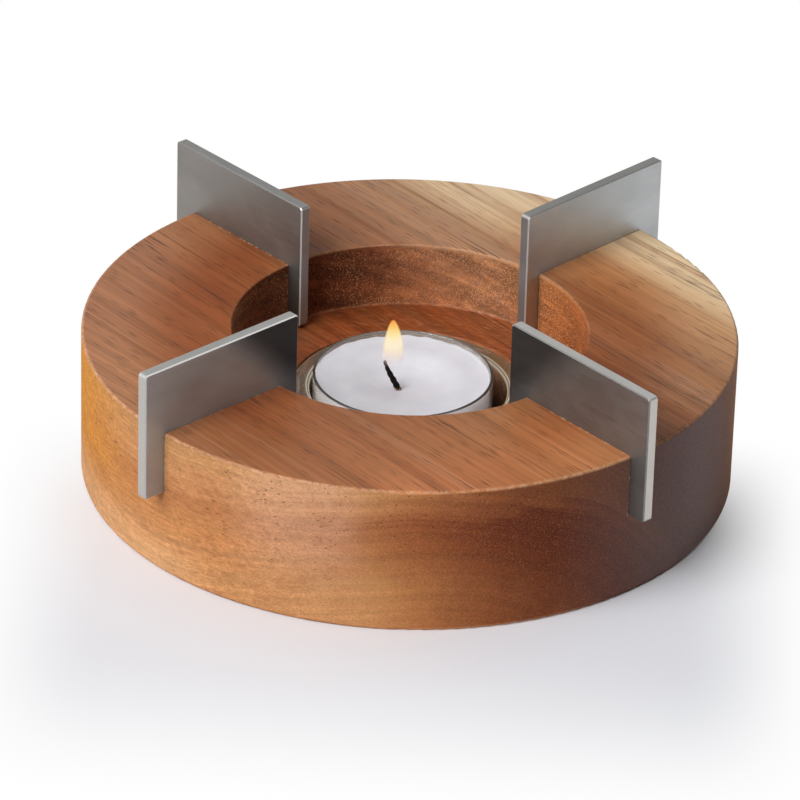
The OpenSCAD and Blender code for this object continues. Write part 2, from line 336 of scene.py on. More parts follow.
# Wooden ring: one solid wood figure, cut by every face of the turned block
woodSettings = {
    "ringRadius": 70.0,  # mm, as all lengths here
    "boreRadius": 38.0,
    "topHeight": 33.0,
    "floorHeight": 18.3,
    "kerfAngles": (225.1, 313.8, 46.7, 134.4),  # degrees, as the plates stand
    "kerfHalf": 1.33,  # from a kerf's middle to its wall
    "kerfFloor": 19.0,
    "grainTurn": 48.0,  # degrees that the grain lies clockwise of +X
    "pith": (0.0, -42.0, -31.0),  # along, across and up: the middle of the growth rings, under the front left
    "wander": (0.0, 6.0, 6.0),  # how far the grain strays from straight
    "ringColours": [  # from the pith outwards
        (0.0, tone(180, 127, 80)), (0.12, tone(181, 128, 80)), (0.2, tone(177, 121, 72)),
        (0.27, tone(164, 107, 64)), (0.32, tone(175, 122, 78)), (0.36, tone(178, 128, 83)),
        (0.42, tone(169, 122, 76)), (0.5, tone(167, 115, 74)), (0.56, tone(167, 112, 74)),
        (0.66, tone(180, 130, 93)), (0.74, tone(186, 138, 97)), (0.84, tone(208, 164, 120)),
        (0.94, tone(238, 210, 168)),
    ],
    "layerLevel": 0.99,  # how bright the growth rings are on the whole
    "lineLevel": 0.98,  # and with the fine lines in them
    "topLineDepth": 0.14,
    "heartRing": 56.5,  # from the pith to the dark ring that shows on the front wall
    "heart": tone(130, 70, 39),
    "gold": tone(188, 124, 40),  # the left wall
    "tan": tone(232, 196, 152),  # painted light bounced from the floor, near the foot at the left
    "blush": tone(212, 168, 140),  # a pinkish patch on the front wall
    "amber": (1.0, 0.88, 0.78, 1.0),  # and warmer wood beside it
    "rightShade": (0.9, 0.8, 0.7, 1.0),  # the right half of the top is browner: partly the wood's tone, partly a painted shadow of the front right plate
    "topLightAndShade": [  # painted light and shade on the top's inner wood, from the back left end to the front right
        (0.0, (0.84, 0.84, 0.84, 1.0)), (0.17, (0.92, 0.94, 0.95, 1.0)), (0.3, (1.0, 1.09, 1.12, 1.0)),
        (0.4, (1.02, 1.14, 1.18, 1.0)), (0.56, (0.88, 0.88, 0.86, 1.0)), (0.65, (0.8, 0.8, 0.78, 1.0)),
        (0.76, (0.92, 0.98, 1.05, 1.0)), (0.86, (1.04, 1.14, 1.2, 1.0)), (0.95, (1.25, 1.28, 1.27, 1.0)),
    ],
    "backShade": (1.2, 0.9, 0.68, 1.0),  # the wall at the back, where the pale wood would look green
    "red": tone(152, 90, 54),
    "greyStreak": tone(154, 118, 102),
    "rose": tone(190, 142, 112),
    "pale": tone(238, 211, 172),
    "topShade": (0.865, 0.62, 0.555, 1.0),  # the top is darker than the wall
    "endShade": (0.43, 0.25, 0.205, 1.0),  # end grain drinks the light; deepened, it also paints part of the shade on the front right wall
    # a painted grey sheen on the end grain at the right, and a paler one farther right
    "endSheenGrey": tone(131, 119, 118),
    "farSheenGrey": tone(150, 136, 132),
    "paintedBoreShade": (0.67, 0.44, 0.3, 1.0),  # painted shade inside the bore, darker and redder
    "boreGlow": (1.1, 0.98, 0.66, 1.0),  # the bore's wall at the right is more orange
    "paintedSideShade": (0.77, 0.55, 0.37, 1.0),  # painted shade on the top beside the bore, at the left and right between the plates
    "pore": tone(66, 36, 23),
    "speck": tone(234, 168, 120),
    "scratch": tone(196, 124, 84),
    "scratchTurn": 20.0,  # degrees, as the grain's turn
    # edges, lighter: partly the wood's own wear, partly a painted highlight
    "wornAndHighlit": tone(214, 178, 146),
    "curlTilt": 0.5,  # mm that a curl on the wall leans for each mm up
    "slantTilt": 0.35,  # mm that a slant on the bore's wall climbs for each mm to the right
    "outerSpecks": 0.12,
    "boreSpecks": 0.5,
    "outerDents": 0.1,
    "boreDents": 0.4,
    "wallRoughness": 0.5,  # how much rougher the walls are
    "gloss": 0.25,
    "fibreRelief": 0.4,
    "wallRelief": 0.7,
    "dentRelief": 0.5,
    "reliefDepth": 0.00005,  # metres
    "reliefStrength": 0.6,
    "stray": {"fineness": (0.007, 0.03, 0.03), "detail": 2.0},  # the figure that the grain strays by
    "figures": {  # of the grain, unless another place is named
        "layers": {"place": "rings", "fineness": (0.004, 0.34, 0.0), "detail": 5.0, "roughness": 0.6},
        "bands": {"fineness": (0.0035, 0.17, 0.17), "detail": 4.0, "roughness": 0.6},
        "broad": {"fineness": (0.003, 0.3, 0.3), "detail": 2.0, "roughness": 0.7, "shift": (0.0, 37.0, 0.0)},
        "lines": {"fineness": (0.012, 1.5, 1.5), "detail": 2.0, "roughness": 0.6},
        "arcs": {"place": "rings", "fineness": (0.01, 1.3, 0.0), "detail": 3.0, "roughness": 0.6},
        "greys": {"fineness": (0.008, 0.8, 0.8), "detail": 3.0, "shift": (0.0, 91.0, 0.0)},
        "fibres": {"fineness": (0.1, 4.2, 4.2), "detail": 2.0, "roughness": 0.6},
        "curls": {
            "place": "leaning", "fineness": (0.7, 0.0, 0.15),
            "detail": 4.0, "roughness": 0.65, "distortion": 0.5,
        },
        "bundles": {"fineness": (0.008, 0.13, 0.13), "detail": 2.0},
        "threads": {"fineness": (0.03, 2.4, 2.4), "detail": 1.0, "shift": (0.0, 53.0, 0.0)},
        "streaks": {"fineness": (0.02, 0.4, 0.4), "detail": 4.0, "roughness": 0.65},
        "scratches": {"place": "scratched", "fineness": (0.28, 3.0, 3.0), "detail": 2.0, "roughness": 0.6},
        "slants": {
            "place": "climbing", "fineness": (0.014, 0.0, 0.19),
            "detail": 4.0, "roughness": 0.6, "distortion": 0.5,
        },
        "specks": {"place": "block", "fineness": (3.4, 3.4, 3.4), "detail": 1.0, "roughness": 0.7},
        "patches": {"fineness": (0.05, 0.12, 0.12), "detail": 2.0},
        "ticks": {"fineness": (0.9, 3.4, 3.4), "detail": 2.0, "roughness": 0.7},
        "flakes": {"place": "block", "fineness": (0.9, 0.9, 0.9), "detail": 4.0, "roughness": 0.7},
    },
    "nicks": {"fineness": (0.13, 2.8, 2.8), "size": (0.3, 0.14), "kept": (0.35, 0.6, 0.0, 0.85)},
    "dots": {"fineness": (0.09, 1.25, 1.25), "size": (0.22, 0.12), "kept": (0.38, 0.7)},
    # what is measured, from, to, and the values that a span leads between where these aren't 0 and 1
    "spans": {
        "ringShare": ("shifted", 30.0, 130.0, 0.0, 1.0, "LINEAR"),
        "ringStray": ("reach", 80.0, 108.0, 3.5, 0.9),
        "layerDepth": ("reach", 84.0, 110.0, 0.15, 0.07),
        "paleReach": ("reach", 98.0, 116.0),
        "behindReach": ("reach", 84.0, 104.0),
        "rightStart": ("reach", 80.0, 90.0),
        "rightStop": ("reach", 124.0, 108.0),
        "innerReach": ("reach", 84.0, 76.0),
        "topReach": ("reach", 94.0, 66.0),
        "calm": ("reach", 118.0, 100.0, 0.3, 1.0),  # the pale outer wood is plainer
        "greyReach": ("reach", 76.0, 96.0),
        "heartOutside": ("widened", 1.4, -0.7),
        "heartInside": ("fromHeart", -17.0, -4.0),
        "heartLength": ("along", 15.0, 62.0),
        "heartWidening": ("along", 62.0, 70.0, 0.0, 9.0),
        "goldLength": ("along", 5.0, -45.0, 0.0, 0.5),
        "paleLength": ("along", -8.0, -40.0),
        "blushStart": ("along", 18.0, 34.0),
        "blushStop": ("along", 50.0, 42.0),
        "amberStart": ("along", 48.0, 56.0),
        "amberStop": ("along", 68.0, 63.0),
        "rightLength": ("along", -2.0, 18.0),
        "topLength": ("along", -60.0, 60.0, 0.0, 1.0, "LINEAR"),
        "markedLength": ("along", -8.0, 8.0),
        "goldSide": ("sideways", -54.0, -69.0, 0.0, 0.55),
        "floorLightSide": ("sideways", -34.0, -50.0),
        "roseSide": ("sideways", -36.0, -66.0, 0.0, 0.35),
        "sheenSide": ("sideways", 30.0, 52.0, 0.0, 0.3),
        "strongerSheenSide": ("sideways", 44.0, 64.0, 0.0, 0.48),
        "farSide": ("sideways", 57.0, 66.0),
        "awayFromMiddle": ("offMiddle", 16.0, 38.0),
        "leftOfMiddle": ("sideways", -12.0, -30.0),
        "glowSide": ("sideways", 18.0, 32.0),
        "slantSide": ("sideways", 34.0, 22.0, 0.2, 1.0),
        "behindPlace": ("backward", 6.0, 28.0),
        "goldHeight": ("height", 4.0, 17.0, 0.05, 1.0),
        "floorLightHeight": ("height", 13.0, 2.0, 0.0, 0.2),
        "blushHeight": ("height", 5.0, 21.0, 0.05, 0.32),
        "dotHeight": ("height", 6.0, 28.0, 0.35, 0.85),
        "outerSkin": ("fromBore", 22.0, 30.0),
        "topSkin": ("fromBore", -1.0, 1.0),
        "boreSkin": ("fromBore", 0.7, 0.3),
        "sideShadeReach": ("fromBore", 26.0, 9.0),
        "mouthEdge": ("fromBore", 0.7, 0.2),
        "insideBoreEdge": ("fromBore", -0.8, -0.2),
        "outsideBoreEdge": ("fromBore", 0.6, 0.2),
        "boreTop": ("fromTop", -0.4, -1.2),
        "topEdge": ("fromTop", -0.75, -0.2),
        "rimEdge": ("fromRim", -0.8, -0.25),
        "floorEdge": ("fromFloor", 0.8, 0.15),
        "kerfEdge": ("fromKerf", 0.45, 0.1),
        "kerfBottom": ("fromKerfFloor", -0.2, 0.2),
        "paleLevel": ("level", 0.0, 1.0, 0.35, 0.85),
        "redLevel": ("level", 0.0, 1.0, 0.4, 1.0),
        "broadDepth": ("level", 0.0, 1.0, 0.04, 0.17),
        "boreLevel": ("level", 0.0, 1.0, 0.5, 1.0),
        "wallLineDepth": ("facing", 0.75, 0.3, 0.04, 0.17),
        "curlFacing": ("facing", 0.75, 0.35),
        "endFacing": ("facing", 0.66, 0.99),
        "sideShadeEase": ("leftBoreWall", 0.0, 1.0, 1.0, 0.1),
        "boreShadeEase": ("sideShadeEase", 0.1, 1.0, 0.45, 1.0),
        "layerSwing": ("layers", 0.2, 0.8, -1.0, 1.0, "LINEAR"),
        "broadSwing": ("broad", 0.3, 0.7, -1.0, 1.0, "LINEAR"),
        "lineSwing": ("lines", 0.3, 0.7, -1.0, 1.0, "LINEAR"),
        "heartStreaks": ("layers", 0.3, 0.65, 0.77, 0.54),
        "redBands": ("bands", 0.48, 0.66, 0.0, 0.6),
        "roseBands": ("bands", 0.5, 0.34, 0.0, 0.3),
        "greyBands": ("greys", 0.48, 0.66, 0.0, 0.4),
        "arcShade": ("arcs", 0.3, 0.7, 0.92, 1.08),
        "fibreShade": ("fibres", 0.25, 0.75, 0.93, 1.06),
        "curlShade": ("curls", 0.3, 0.7, 0.94, 1.06),
        "threadSize": ("threads", 0.62, 0.72),
        "bundleDepth": ("bundles", 0.4, 0.6, 0.12, 0.75),
        "streakShade": ("streaks", 0.36, 0.64, 0.78, 1.17),
        "scratchDepth": ("scratches", 0.55, 0.68, 0.0, 0.55),
        "slantShade": ("slants", 0.38, 0.62, 0.7, 1.32),
        "patchDepth": ("patches", 0.36, 0.6, 0.5, 1.0),
        "tickShade": ("ticks", 0.25, 0.75, 0.84, 1.14),
        "speckSize": ("specks", 0.53, 0.68),
        "dentSize": ("specks", 0.48, 0.3),
        "rimFlakes": ("flakes", 0.38, 0.66, 0.0, 0.42),
        "boreFlakes": ("flakes", 0.46, 0.66, 0.0, 0.18),
        "kerfFlakes": ("flakes", 0.5, 0.62, 0.0, 0.5),
        "roughness": ("fibres", 0.2, 0.8, 0.36, 0.52),
    },
}


class SolidWood:
    # named values all through the block, each built when it is first asked for: measures of a point and its
    # face, noise figures, and spans of either; the stages below work its colour over, one after the other
    def __init__(self, tree, settings):
        self.tree = tree
        self.settings = settings
        self.values = {}
        self.colour = None

    def value(self, name):
        if name not in self.values:
            figures = self.settings["figures"]
            if name in figures:
                place = self.values[figures[name].get("place", "grain")]
                self.values[name] = figure(self.tree, place, figures[name])
            else:
                measure, *span = self.settings["spans"][name]
                self.values[name] = remap(self.tree, self.value(measure), *span)
        return self.values[name]

    def mask(self, *factors):
        # the product of values that are given by name or as they are
        values = [self.value(factor) if isinstance(factor, str) else factor for factor in factors]
        return multiply(self.tree, *values)

    def join(self, name, operation, first, second):
        # a new named value from two masks
        self.values[name] = calculate(self.tree, operation, self.mask(*first), self.mask(*second))

    def coat(self, colour, *factors):
        # another colour where the factors come to 1, and part of it where they come to less
        self.colour = mixColours(self.tree, self.mask(*factors), self.colour, colour)

    def tint(self, shade, *factors):
        # the same for a shade that multiplies the colour
        self.colour = tint(self.tree, self.mask(*factors), self.colour, shade)

    def shade(self, name, *factors):
        # and for a named value that darkens or lightens it
        mask = self.mask(*factors) if factors else 1.0
        self.colour = shadeBy(self.tree, self.colour, self.value(name), mask)

    def swing(self, name, middle, *depths):
        # a brightness that swings about its middle value
        brightness = calculate(self.tree, "MULTIPLY_ADD", self.value(name), self.mask(*depths), middle)
        self.colour = shadeBy(self.tree, self.colour, brightness)


def kerfDistance(tree, block, settings):
    # how far a point lies from the middle of the nearest kerf
    nearest = settings["ringRadius"]
    for angle in settings["kerfAngles"]:
        way = math.radians(angle)
        sideways = reachAlong(tree, block, (-math.sin(way), math.cos(way), 0.0))
        inwards = vectorWork(tree, "DOT_PRODUCT", block, (-math.cos(way), -math.sin(way), 0.0))
        nearest = calculate(tree, "MINIMUM", calculate(tree, "MAXIMUM", sideways, inwards), nearest)
    return nearest


def measureWood(wood):
    # where a point lies in the block, how its face lies, and the masks that several stages share
    tree, settings, values = wood.tree, wood.settings, wood.values
    block = placeInMillimetres(tree)
    straight = placeInMillimetres(tree, settings["grainTurn"])  # X along the grain, Y across it, Z up
    stray = vectorWork(tree, "SUBTRACT", figure(tree, straight, settings["stray"], "Color"), (0.5, 0.5, 0.5))
    grain = vectorWork(tree, "ADD", straight, stretch(tree, stray, settings["wander"]))
    along = separate(tree, grain)[0]
    fromPith = stretch(tree, vectorWork(tree, "SUBTRACT", grain, settings["pith"]), (0.0, 1.0, 1.0))
    reach = vectorWork(tree, "LENGTH", fromPith)
    sideways, backward, height = separate(tree, block)
    values.update(block=block, grain=grain, along=along, reach=reach, radius=flatLength(tree, block))
    values.update(sideways=sideways, backward=backward, height=height)
    values["offMiddle"] = calculate(tree, "ABSOLUTE", sideways)
    values["kerfDistance"] = kerfDistance(tree, block, settings)
    offsets = (
        ("fromBore", "radius", "boreRadius"), ("fromRim", "radius", "ringRadius"),
        ("fromTop", "height", "topHeight"), ("fromFloor", "height", "floorHeight"),
        ("fromKerf", "kerfDistance", "kerfHalf"), ("fromKerfFloor", "height", "kerfFloor"),
    )
    for name, measure, size in offsets:
        values[name] = calculate(tree, "SUBTRACT", values[measure], settings[size])
    normal = faceNormal(tree)
    grainAngle = math.radians(settings["grainTurn"])
    values["facing"] = reachAlong(tree, normal, (math.cos(grainAngle), -math.sin(grainAngle), 0.0))
    values["level"] = reachAlong(tree, normal, zAxis)
    values["upright"] = calculate(tree, "SUBTRACT", 1.0, values["level"])
    values["outerWall"] = wood.mask("upright", "outerSkin")
    values["inBore"] = wood.mask("boreSkin", "boreTop")
    values["boreWall"] = wood.mask("inBore", "upright")
    # places that are not simply the grain's, for some of the figures
    leaning = calculate(tree, "MULTIPLY_ADD", height, settings["curlTilt"], along)
    climbing = calculate(tree, "MULTIPLY_ADD", sideways, settings["slantTilt"], height)
    values["rings"] = combine(tree, along, reach)
    values["leaning"] = combine(tree, leaning, z=height)
    values["climbing"] = combine(tree, sideways, z=climbing)
    values["scratched"] = placeInMillimetres(tree, settings["scratchTurn"])


def growRings(wood):
    # growth rings by distance from the pith, each a little uneven, and a dark heart that widens at its end
    tree, settings, values = wood.tree, wood.settings, wood.values
    stray = wood.mask("layerSwing", "ringStray")
    values["shifted"] = calculate(tree, "ADD", stray, values["reach"])
    wood.colour = ramp(tree, wood.value("ringShare"), settings["ringColours"])
    values["fromHeart"] = calculate(tree, "SUBTRACT", values["shifted"], settings["heartRing"])
    wood.join("widened", "SUBTRACT", ["fromHeart"], ["heartWidening"])
    wood.coat(settings["heart"], "heartOutside", "heartInside", "heartLength", "heartStreaks")
    wood.swing("layerSwing", settings["layerLevel"], "layerDepth")


def tintFaces(wood):
    # broad tints: gold at the left, pale at the back, painted floor light at the foot, blush and amber at the
    # front, a darker top with painted light and shade
    settings = wood.settings
    wood.join("goldSpread", "ADD", ["goldLength"], ["goldSide"])
    wood.coat(settings["gold"], "goldSpread", "outerWall", "goldHeight")
    wood.coat(settings["pale"], "paleLength", "paleReach", "paleLevel")
    # painted light bounced from the floor onto the wall near the foot, at the left
    wood.coat(settings["tan"], "outerWall", "floorLightHeight", "floorLightSide")
    wood.coat(settings["blush"], "blushStart", "blushStop", "outerWall", "blushHeight")
    wood.tint(settings["amber"], "amberStart", "amberStop", "outerWall")
    wood.tint(settings["backShade"], "outerWall", "behindPlace", "behindReach")
    wood.tint(settings["rightShade"], "level", "rightLength", "rightStart", "rightStop")
    # painted light and shade along the top's inner wood
    paintedTopLight = ramp(wood.tree, wood.value("topLength"), settings["topLightAndShade"])
    wood.tint(paintedTopLight, "level", "innerReach", "topSkin")
    wood.tint(settings["topShade"], "level", "topReach")


def drawBands(wood):
    # bands along the grain that differ in tint and brightness, fine lines and greyish streaks in them, and on
    # the outer wall thin arcs of the rings and upright curls
    settings = wood.settings
    wood.coat(settings["red"], "redBands", "redLevel")
    wood.join("rosy", "MAXIMUM", ["roseBands"], ["roseSide"])
    wood.coat(settings["rose"], "rosy", "level")
    wood.swing("broadSwing", 1.0, "broadDepth", "calm")
    wood.shade("arcShade", "outerWall")
    topDepth = wood.mask("calm", settings["topLineDepth"])
    lineDepth = mixValues(wood.tree, wood.value("level"), wood.value("wallLineDepth"), topDepth)
    wood.swing("lineSwing", settings["lineLevel"], lineDepth)
    wood.coat(settings["greyStreak"], "greyBands", "greyReach", "calm")
    wood.shade("fibreShade")
    wood.shade("curlShade", "outerWall", "curlFacing")


def scatterPores(wood, name):
    # short pores, one in each cell along the grain, of which only a share is kept
    tree, look = wood.tree, wood.settings[name]
    inputs = {"Vector": stretch(tree, wood.value("grain"), look["fineness"]), "Scale": 1.0}
    cells = addNode(tree, "ShaderNodeTexVoronoi", inputs).outputs
    chance = addNode(tree, "ShaderNodeSeparateColor", {0: cells["Color"]}).outputs[0]
    size = remap(tree, cells["Distance"], *look["size"])
    wood.values[name] = multiply(tree, size, remap(tree, chance, *look["kept"]))


def cutPores(wood):
    # pores: long threads in loose bundles and short nicks on level faces, scattered dots on the outer wall
    scatterPores(wood, "nicks")
    scatterPores(wood, "dots")
    wood.join("lengthwise", "MAXIMUM", ["threadSize", "bundleDepth"], ["nicks"])
    wood.join("marked", "MAXIMUM", ["calm"], ["markedLength"])
    wood.join("pores", "MAXIMUM", ["lengthwise", "marked", "level"], ["dots", "dotHeight", "outerWall"])
    wood.coat(wood.settings["pore"], "pores")


def darkenEnds(wood):
    # end grain, where a wall looks along the grain: darker and redder, partly painted shade, and a painted
    # grey sheen at the far right
    settings = wood.settings
    # end grain, darker and redder, and with it part of the painted shade on the front right wall
    wood.tint(settings["endShade"], "endFacing", "upright")
    # painted grey sheen, stronger towards the far right
    greys = mixColours(wood.tree, wood.value("farSide"), settings["endSheenGrey"], settings["farSheenGrey"])
    wood.join("paintedSheen", "ADD", ["sheenSide"], ["strongerSheenSide"])
    wood.coat(greys, "endFacing", "paintedSheen", "outerWall")


def darkenBore(wood):
    # the bore and the top beside it at the left and right: painted shade, darker and redder, with streaks and
    # the cutter's fine scratches
    settings = wood.settings
    # less painted shade on the bore's left wall, which lies in the lamps' shade already
    wood.values["leftBoreWall"] = wood.mask("inBore", "leftOfMiddle")
    # painted shade beside the bore at the left and right, between the plates, and on the bore's sides
    wood.tint(settings["paintedSideShade"], "sideShadeReach", "awayFromMiddle", "sideShadeEase")
    # painted shade inside the bore
    wood.tint(settings["paintedBoreShade"], "inBore", "boreLevel", "boreShadeEase")
    wood.tint(settings["boreGlow"], "boreWall", "glowSide")
    wood.shade("streakShade", "inBore")
    wood.coat(settings["scratch"], "scratchDepth", "inBore", "level")


def tearFibres(wood):
    # torn fibre ends: bright specks and small dents, in patches on the bore's wall and faint on the outer one
    settings = wood.settings
    wood.shade("slantShade", "boreWall", "slantSide")
    wood.shade("tickShade", "outerWall")
    wood.values["tornWall"] = wood.mask("boreWall", "patchDepth")
    outerSpecks, outerDents = (["outerWall", settings[key]] for key in ("outerSpecks", "outerDents"))
    boreSpecks, boreDents = (["tornWall", settings[key]] for key in ("boreSpecks", "boreDents"))
    wood.join("specked", "MAXIMUM", outerSpecks, boreSpecks)
    wood.coat(settings["speck"], "speckSize", "specked")
    wood.join("dented", "MAXIMUM", outerDents, boreDents)
    wood.values["dents"] = wood.mask("dentSize", "dented")
    wood.coat(settings["pore"], "dents")


def wearAndHighlightEdges(wood):
    # worn edges, lighter, and partly a painted highlight along them, broken into short bright lengths: outer
    # rim, the bore's mouth and floor, the kerfs' mouths
    wood.join("innerEdges", "MAXIMUM", ["mouthEdge", "topEdge"], ["insideBoreEdge", "outsideBoreEdge", "floorEdge"])
    wood.join("turnedWearAndHighlight", "MAXIMUM", ["rimEdge", "topEdge", "rimFlakes"], ["innerEdges", "boreFlakes"])
    wood.join("wearAndHighlight", "MAXIMUM", ["turnedWearAndHighlight"], ["kerfEdge", "kerfBottom", "kerfFlakes"])
    # partly wear, partly a painted highlight on the edges
    wood.coat(wood.settings["wornAndHighlit"], "wearAndHighlight")


def makeWood(settings):
    material, tree, shader = newMaterial("turnedWood")
    wood = SolidWood(tree, settings)
    measureWood(wood)
    for stage in (growRings, tintFaces, drawBands, cutPores, darkenEnds, darkenBore, tearFibres, wearAndHighlightEdges):
        stage(wood)
    tree.links.new(wood.colour, shader.inputs["Base Color"])
    wood.join("dullness", "ADD", ["roughness"], ["upright", settings["wallRoughness"]])
    tree.links.new(wood.value("dullness"), shader.inputs["Roughness"])
    shader.inputs["Specular IOR Level"].default_value = settings["gloss"]
    wallRelief = ["specks", "upright", settings["wallRelief"]]
    wood.join("raised", "ADD", ["fibres", settings["fibreRelief"]], wallRelief)
    wood.join("sunk", "ADD", ["pores"], ["dents", settings["dentRelief"]])
    wood.join("relief", "SUBTRACT", ["raised"], ["sunk"])
    bump(tree, shader, wood.value("relief"), settings["reliefDepth"], settings["reliefStrength"])
    return material


dress(nodes["wooden_ring"], makeWood(woodSettings))
print("wooden ring finished")


# Steel plates: satin ground along their length, with broken edges; each plate's colours also carry painted
# reflections and highlights
steelSettings = {
    "plateTop": 48.2,  # mm
    "bright": tone(167, 166, 163),
    "dull": tone(160, 159, 156),
    # the inner ends' colour, and a painted highlight on their edges
    "innerEnds": tone(158, 156, 155),
    "innerArris": tone(212, 212, 210),
    "darkReflectionTilt": 1.1,  # mm that the painted dark reflection draws back for each mm further down
    "markRoughness": 0.06,
    "arrisRoughness": 0.62,
    "grindDepth": 0.000002,  # metres
    "grind": {"fineness": (0.05, 6.0, 6.0), "detail": 3.0, "roughness": 0.6},
    "clouds": {"fineness": (0.06, 0.1, 0.1), "detail": 3.0},
    "spans": {
        "grindShade": (0.25, 0.75),
        "cloudShade": (0.3, 0.7, 0.9, 1.06),
        "roughness": (0.2, 0.8, 0.45, 0.52),
        "darkReflection": (57.0, 45.0),  # mm from the middle, over which a painted dark reflection darkens a plate towards its inner end, at its top
        "facesUp": (0.6, 0.9),  # by the part of a face's normal that points that way
        "facesOut": (0.6, 0.9),
        "facesIn": (-0.6, -0.9),
        "arrisStart": (0.2, 0.5),
        "arrisStop": (0.95, 0.85),
        "innerArris": (-0.2, -0.5),
        "outerArris": (0.2, 0.5),
    },
    # where a plate stands in degrees, and its painted reflections and highlights: how bright its sides, the
    # darker inner part of its sides and its top are, and the colours of its edges and outer end
    "plates": {
        "front_left": {
            "angle": 225.1, "sides": (1.15, 1.27, 1.38, 1.0), "darkReflection": 0.22, "top": 1.45,
            "arris": tone(245, 245, 243), "upright": tone(182, 181, 179), "end": tone(186, 182, 177),
        },
        "front_right": {
            "angle": 313.8, "sides": (0.61, 0.59, 0.59, 1.0), "darkReflection": 0.4, "top": 1.75,
            "arris": tone(126, 126, 125), "upright": tone(130, 130, 129), "end": tone(196, 190, 185),
        },
        "rear_right": {
            "angle": 46.7, "sides": (1.22, 1.27, 1.34, 1.0), "darkReflection": 0.94, "top": 1.0,
            "arris": tone(150, 150, 149), "upright": tone(150, 150, 149), "end": tone(183, 178, 174),
        },
        "rear_left": {
            "angle": 134.4, "sides": (0.68, 0.64, 0.62, 1.0), "darkReflection": 0.94, "top": 1.05,
            "arris": tone(128, 128, 127), "upright": tone(128, 128, 127), "end": tone(183, 178, 174),
        },
    },
    "disc": {
        "angle": 0.0, "sides": white, "darkReflection": 1.0, "top": 1.0,
        "arris": tone(160, 160, 158), "upright": tone(160, 160, 158), "end": tone(183, 178, 174),
    },
}


def makeSatinGrind(settings):
    # Place runs X along the plate, Y through it, Z up; Facing is a face's normal in the same frame
    inputs = {
        "Place": "NodeSocketVector", "Facing": "NodeSocketVector", "Sides": "NodeSocketColor",
        "DarkReflection": "NodeSocketFloat", "Top": "NodeSocketFloat", "Arris": "NodeSocketColor",
        "Upright": "NodeSocketColor", "End": "NodeSocketColor",
    }
    outputs = {"Colour": "NodeSocketColor", "Roughness": "NodeSocketFloat", "Height": "NodeSocketFloat"}
    tree, entry, leaving = newGroup("satinGrind", inputs, outputs)
    spans = settings["spans"]
    grind = figure(tree, entry["Place"], settings["grind"])
    clouds = figure(tree, entry["Place"], settings["clouds"])
    colour = mixColours(tree, remap(tree, grind, *spans["grindShade"]), settings["dull"], settings["bright"])
    colour = shadeBy(tree, colour, remap(tree, clouds, *spans["cloudShade"]))
    place = separate(tree, entry["Place"])
    # a painted dark reflection on the sides towards the inner end, drawn back lower down
    below = calculate(tree, "SUBTRACT", settings["plateTop"], place[2])
    drawnBack = calculate(tree, "MULTIPLY_ADD", below, settings["darkReflectionTilt"], place[0])
    reflectionDarkening = mixValues(tree, remap(tree, drawnBack, *spans["darkReflection"]), 1.0, entry["DarkReflection"])
    sides = tint(tree, 1.0, shadeBy(tree, colour, reflectionDarkening), entry["Sides"])
    outward, sideways, upward = separate(tree, entry["Facing"])
    # painted reflections: each plate's sides, top and ends get their own brightness
    top = shadeBy(tree, colour, entry["Top"])
    colour = mixColours(tree, remap(tree, upward, *spans["facesUp"]), sides, top)
    colour = mixColours(tree, remap(tree, outward, *spans["facesOut"]), colour, entry["End"])
    colour = mixColours(tree, remap(tree, outward, *spans["facesIn"]), colour, settings["innerEnds"])
    through = calculate(tree, "ABSOLUTE", sideways)
    # painted highlights and shade along the edges, plate by plate
    arrisStart = remap(tree, through, *spans["arrisStart"])
    arris = multiply(tree, arrisStart, remap(tree, through, *spans["arrisStop"]))
    inner = remap(tree, outward, *spans["innerArris"])
    edge = mixColours(tree, inner, entry["Arris"], settings["innerArris"])
    edge = mixColours(tree, remap(tree, outward, *spans["outerArris"]), edge, entry["Upright"])
    tree.links.new(mixColours(tree, arris, colour, edge), leaving["Colour"])
    marks = useGroup(tree, handMarks, {"Place": entry["Place"]})["Marks"]
    marked = multiply(tree, marks, settings["markRoughness"])
    ground = calculate(tree, "ADD", remap(tree, grind, *spans["roughness"]), marked)
    duller = calculate(tree, "MAXIMUM", ground, multiply(tree, arris, settings["arrisRoughness"]))
    tree.links.new(duller, leaving["Roughness"])
    tree.links.new(grind, leaving["Height"])
    return tree


satinGrind = makeSatinGrind(steelSettings)


def makeSteel(name, plate, settings):
    material, tree, shader = newMaterial(name)
    turn = {"Vector": faceNormal(tree), "Rotation": (0.0, 0.0, math.radians(-plate["angle"]))}
    inputs = {
        "Place": placeInMillimetres(tree, -plate["angle"]),
        "Facing": addNode(tree, "ShaderNodeMapping", turn).outputs[0],
        "Sides": plate["sides"], "DarkReflection": plate["darkReflection"], "Top": plate["top"], "Arris": plate["arris"],
        "Upright": plate["upright"], "End": plate["end"],
    }
    ground = useGroup(tree, satinGrind, inputs)
    tree.links.new(ground["Colour"], shader.inputs["Base Color"])
    tree.links.new(ground["Roughness"], shader.inputs["Roughness"])
    shader.inputs["Metallic"].default_value = 1.0
    bump(tree, shader, ground["Height"], settings["grindDepth"])
    return material


for place, plate in steelSettings["plates"].items():
    dress(nodes[place + "_plate"], makeSteel("satinSteel_" + place, plate, steelSettings))
dress(nodes["wick_sustainer"], makeSteel("tinnedSteel", steelSettings["disc"], steelSettings))
print("steel finished")


